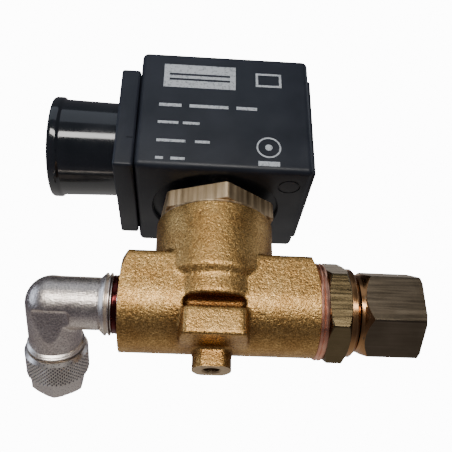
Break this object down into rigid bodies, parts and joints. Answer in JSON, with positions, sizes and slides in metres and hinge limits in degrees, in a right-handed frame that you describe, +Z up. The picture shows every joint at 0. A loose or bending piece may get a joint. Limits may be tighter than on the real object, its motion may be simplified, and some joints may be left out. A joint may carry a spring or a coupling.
{
  "type": "solenoid valve",
  "caption": "Brass in-line solenoid valve with a box coil, a round connector shroud, a push-on hose elbow and a compression tube fitting.",
  "frame": {"origin": "where the port axis meets the plunger axis, inside the cast body", "axes": "+Z up the plunger axis towards the coil, +X along the ports from the elbow to the compression fitting, -Y out of the front of the coil"},
  "size_m": [0.1051, 0.0482, 0.0986],
  "materials": {
    "cast_brass": "grainy sand-cast brass, unpolished",
    "machined_brass": "machined brass with tool lines",
    "dark_brass": "dull, tarnished machined brass",
    "nickel_plate": "satin nickel plate",
    "copper_seal": "reddish copper",
    "copper_wire": "enamelled copper wire",
    "bright_steel": "turned bright steel",
    "spring_steel": "drawn spring wire",
    "tinned_terminal": "tinned",
    "black_rubber": "matt",
    "matt_black_plastic": "fine-textured moulded plastic",
    "gloss_black_plastic": "smooth glossy moulded plastic",
    "white_plastic": "satin"
  },
  "bodies": {
    "valve": {"valve_body": "cast_brass", "bonnet_nut": "machined_brass", "bonnet_seal": "black_rubber", "enclosing_tube": "bright_steel", "fixed_core": "bright_steel", "plunger_spring": "spring_steel", "piston_spring": "spring_steel", "coil_washer": "bright_steel", "elbow_fitting": "nickel_plate", "thread_sealant": "copper_seal", "sealing_washer": "copper_seal", "stud_adaptor": "dark_brass", "cutting_ring": "bright_steel"},
    "plunger_group": {"plunger": "bright_steel", "plunger_seal": "black_rubber"},
    "piston_group": {"piston": "machined_brass", "piston_ring": "white_plastic", "piston_seal": "black_rubber"},
    "coil_group": {"coil_case": "matt_black_plastic", "coil_lid": "matt_black_plastic", "bobbin": "white_plastic", "winding": "copper_wire", "yoke": "bright_steel", "connector_base": "matt_black_plastic", "connector_shroud": "gloss_black_plastic", "terminal_block": "matt_black_plastic", "terminal_supply": "tinned_terminal", "terminal_earth": "tinned_terminal", "terminal_return": "tinned_terminal"},
    "coil_nut_group": {"coil_nut": "bright_steel"},
    "hose_nut_group": {"knurled_nut": "nickel_plate"},
    "union_nut_group": {"union_nut": "dark_brass"}
  },
  "joints": [
    {"name": "plunger_lift", "type": "slide", "parent": "valve", "child": "plunger_group", "axis": [0, 0, 1], "range_m": [0, 0.004], "stiffness_N_per_m": 150, "springref_m": -0.01, "deforming": ["plunger_spring"]},
    {"name": "piston_lift", "type": "slide", "parent": "valve", "child": "piston_group", "axis": [0, 0, 1], "range_m": [0, 0.003], "deforming": ["piston_spring"]},
    {"name": "coil_swivel", "type": "hinge", "parent": "valve", "child": "coil_group", "pos_m": [0, 0, 0.05], "axis": [0, 0, 1], "continuous": true},
    {"name": "coil_nut_turn", "type": "hinge", "parent": "valve", "child": "coil_nut_group", "pos_m": [0, 0, 0.074], "axis": [0, 0, 1], "continuous": true},
    {"name": "hose_nut_turn", "type": "hinge", "parent": "valve", "child": "hose_nut_group", "pos_m": [-0.0422, 0.01732, -0.01], "axis": [0, 0.866, -0.5], "continuous": true},
    {"name": "union_nut_turn", "type": "hinge", "parent": "valve", "child": "union_nut_group", "pos_m": [0.045, 0, 0], "axis": [1, 0, 0], "continuous": true}
  ],
  "couplings": [
    {"joint": "piston_lift", "follows": "plunger_lift", "ratio": 0.75}
  ]
}
